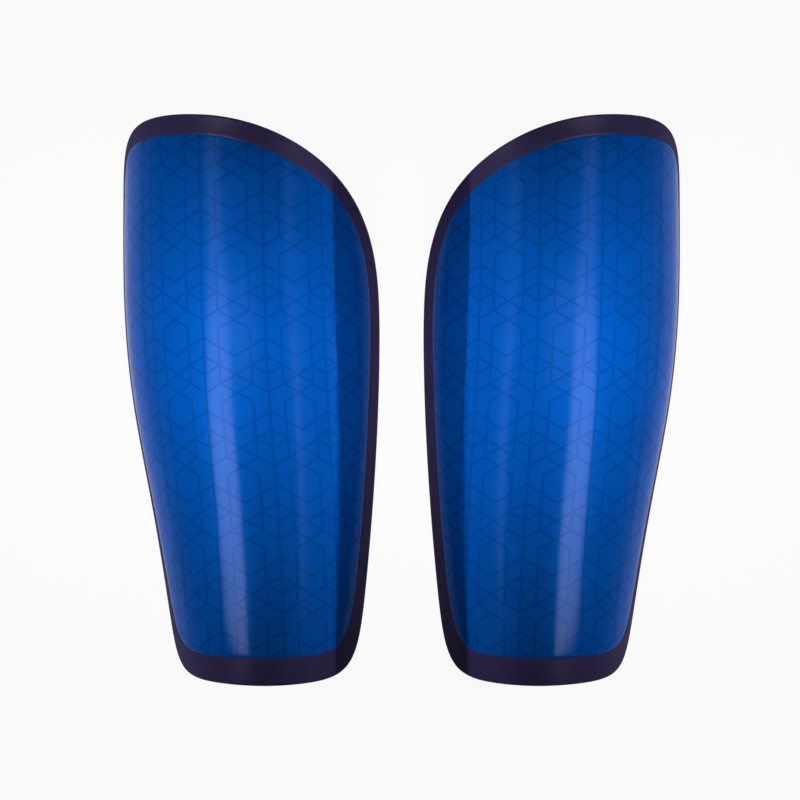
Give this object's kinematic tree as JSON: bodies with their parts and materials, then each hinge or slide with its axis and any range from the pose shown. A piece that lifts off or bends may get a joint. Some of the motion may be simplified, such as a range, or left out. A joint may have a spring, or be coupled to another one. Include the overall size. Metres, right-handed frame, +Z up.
{
  "type": "shin guard pair",
  "caption": "Mirrored pair of slip-in shin guards: curved gloss shells with dark rims and patterned blue face panels, backed with foam and a knitted lining.",
  "frame": {"origin": "middle of the pair, on the surface that the guards lie on", "axes": "+X across the pair towards the right guard as seen from the front, +Y along the guards towards their knee edges, +Z up out of their fronts"},
  "size_m": [0.2146, 0.22, 0.0384],
  "materials": {
    "shell": "gloss moulded polypropylene, very dark violet",
    "face_panel": "blue metallic print under clear gloss film, fine dark hexagon line pattern",
    "foam": "closed-cell EVA foam, matt skin",
    "lining": "brushed polyester knit with punched vents"
  },
  "bodies": {
    "left_guard": {"left_shell": "shell", "left_face_panel": "face_panel", "left_foam_backing": "foam", "left_lining": "lining"},
    "right_guard": {"right_shell": "shell", "right_face_panel": "face_panel", "right_foam_backing": "foam", "right_lining": "lining"}
  },
  "joints": [
    {"name": "right_guard_apart", "type": "slide", "parent": "left_guard", "child": "right_guard", "axis": [1, 0, 0], "range_m": [0, 0.12]}
  ]
}
